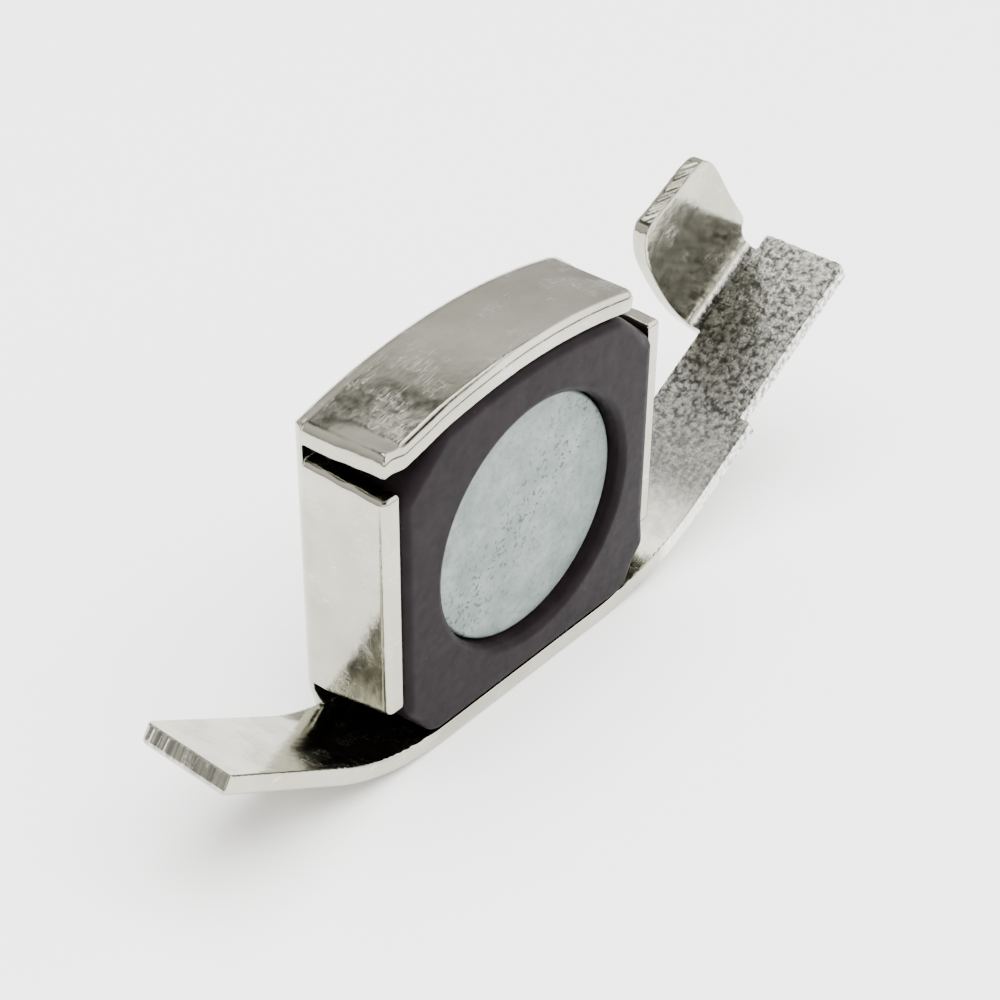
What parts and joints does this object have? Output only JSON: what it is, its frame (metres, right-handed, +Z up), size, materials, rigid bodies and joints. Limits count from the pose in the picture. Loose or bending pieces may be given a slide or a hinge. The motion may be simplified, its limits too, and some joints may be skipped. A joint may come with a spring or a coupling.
{
  "type": "security tag detacher",
  "caption": "Handheld detacher: folded steel bracket with a cup for a disc magnet in a moulded holder, a raised tail and a raised arm that ends in a hooked finger.",
  "frame": {"origin": "middle of the strap's flat underside, below the middle of the cup", "axes": "+X along the strap towards the arm, +Y from the cup's open front to the back plate, +Z up from the strap towards the arched flange"},
  "size_m": [0.0744, 0.0115, 0.0304],
  "materials": {
    "plated_steel": "bright nickel plate over blanked and folded sheet, fine scratches",
    "holder_plastic": "satin moulded plastic",
    "magnet_plating": "matte zinc plating with small dark specks",
    "adhesive": "thin cured adhesive film"
  },
  "bodies": {
    "root": {"steel_bracket": "plated_steel", "magnet_holder": "holder_plastic", "disc_magnet": "magnet_plating", "magnet_adhesive": "adhesive", "holder_adhesive": "adhesive"}
  },
  "joints": []
}
